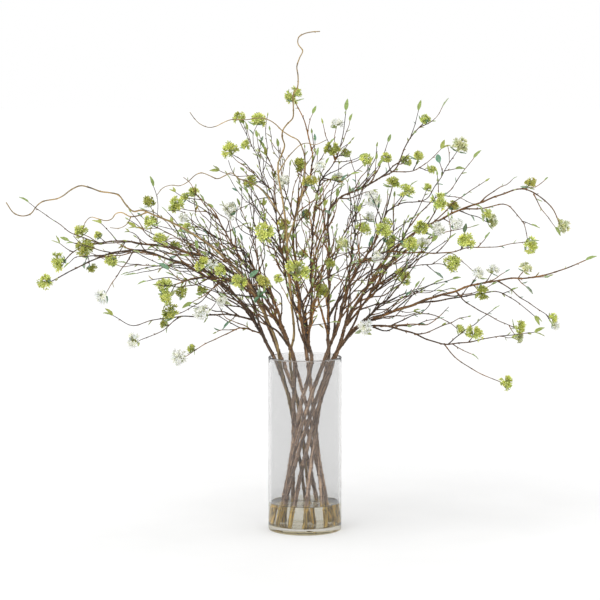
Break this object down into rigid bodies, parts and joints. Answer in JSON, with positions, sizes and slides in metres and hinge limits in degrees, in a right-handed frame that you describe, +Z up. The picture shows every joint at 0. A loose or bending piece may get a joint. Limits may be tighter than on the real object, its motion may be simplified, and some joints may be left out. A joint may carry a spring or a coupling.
{
  "type": "flowering branches in vase",
  "caption": "Spray of slim flowering branches with small lime and white heads and curly tendrils, standing in a clear glass cylinder vase with set resin water.",
  "frame": {"origin": "centre of the vase's underside, on the surface it stands on", "axes": "+Z up along the vase's axis, +X to the right across the spray's width, -Y to the front"},
  "size_m": [0.9768, 0.5411, 0.8614],
  "materials": {
    "vase_glass": "gloss",
    "resin": "gloss",
    "flowering_wood": "matte",
    "curly_wood": "matte"
  },
  "bodies": {
    "root": {"vase": "vase_glass", "resin_water": "resin", "branch_left_low": "flowering_wood", "branch_left_mid": "flowering_wood", "branch_left_tall": "flowering_wood", "branch_front_left": "flowering_wood", "branch_centre_tall": "flowering_wood", "branch_front": "flowering_wood", "branch_right_tall": "flowering_wood", "branch_right_front": "flowering_wood", "branch_right_long": "flowering_wood", "branch_right_low": "flowering_wood", "willow_left": "curly_wood", "willow_top": "curly_wood"}
  },
  "joints": []
}
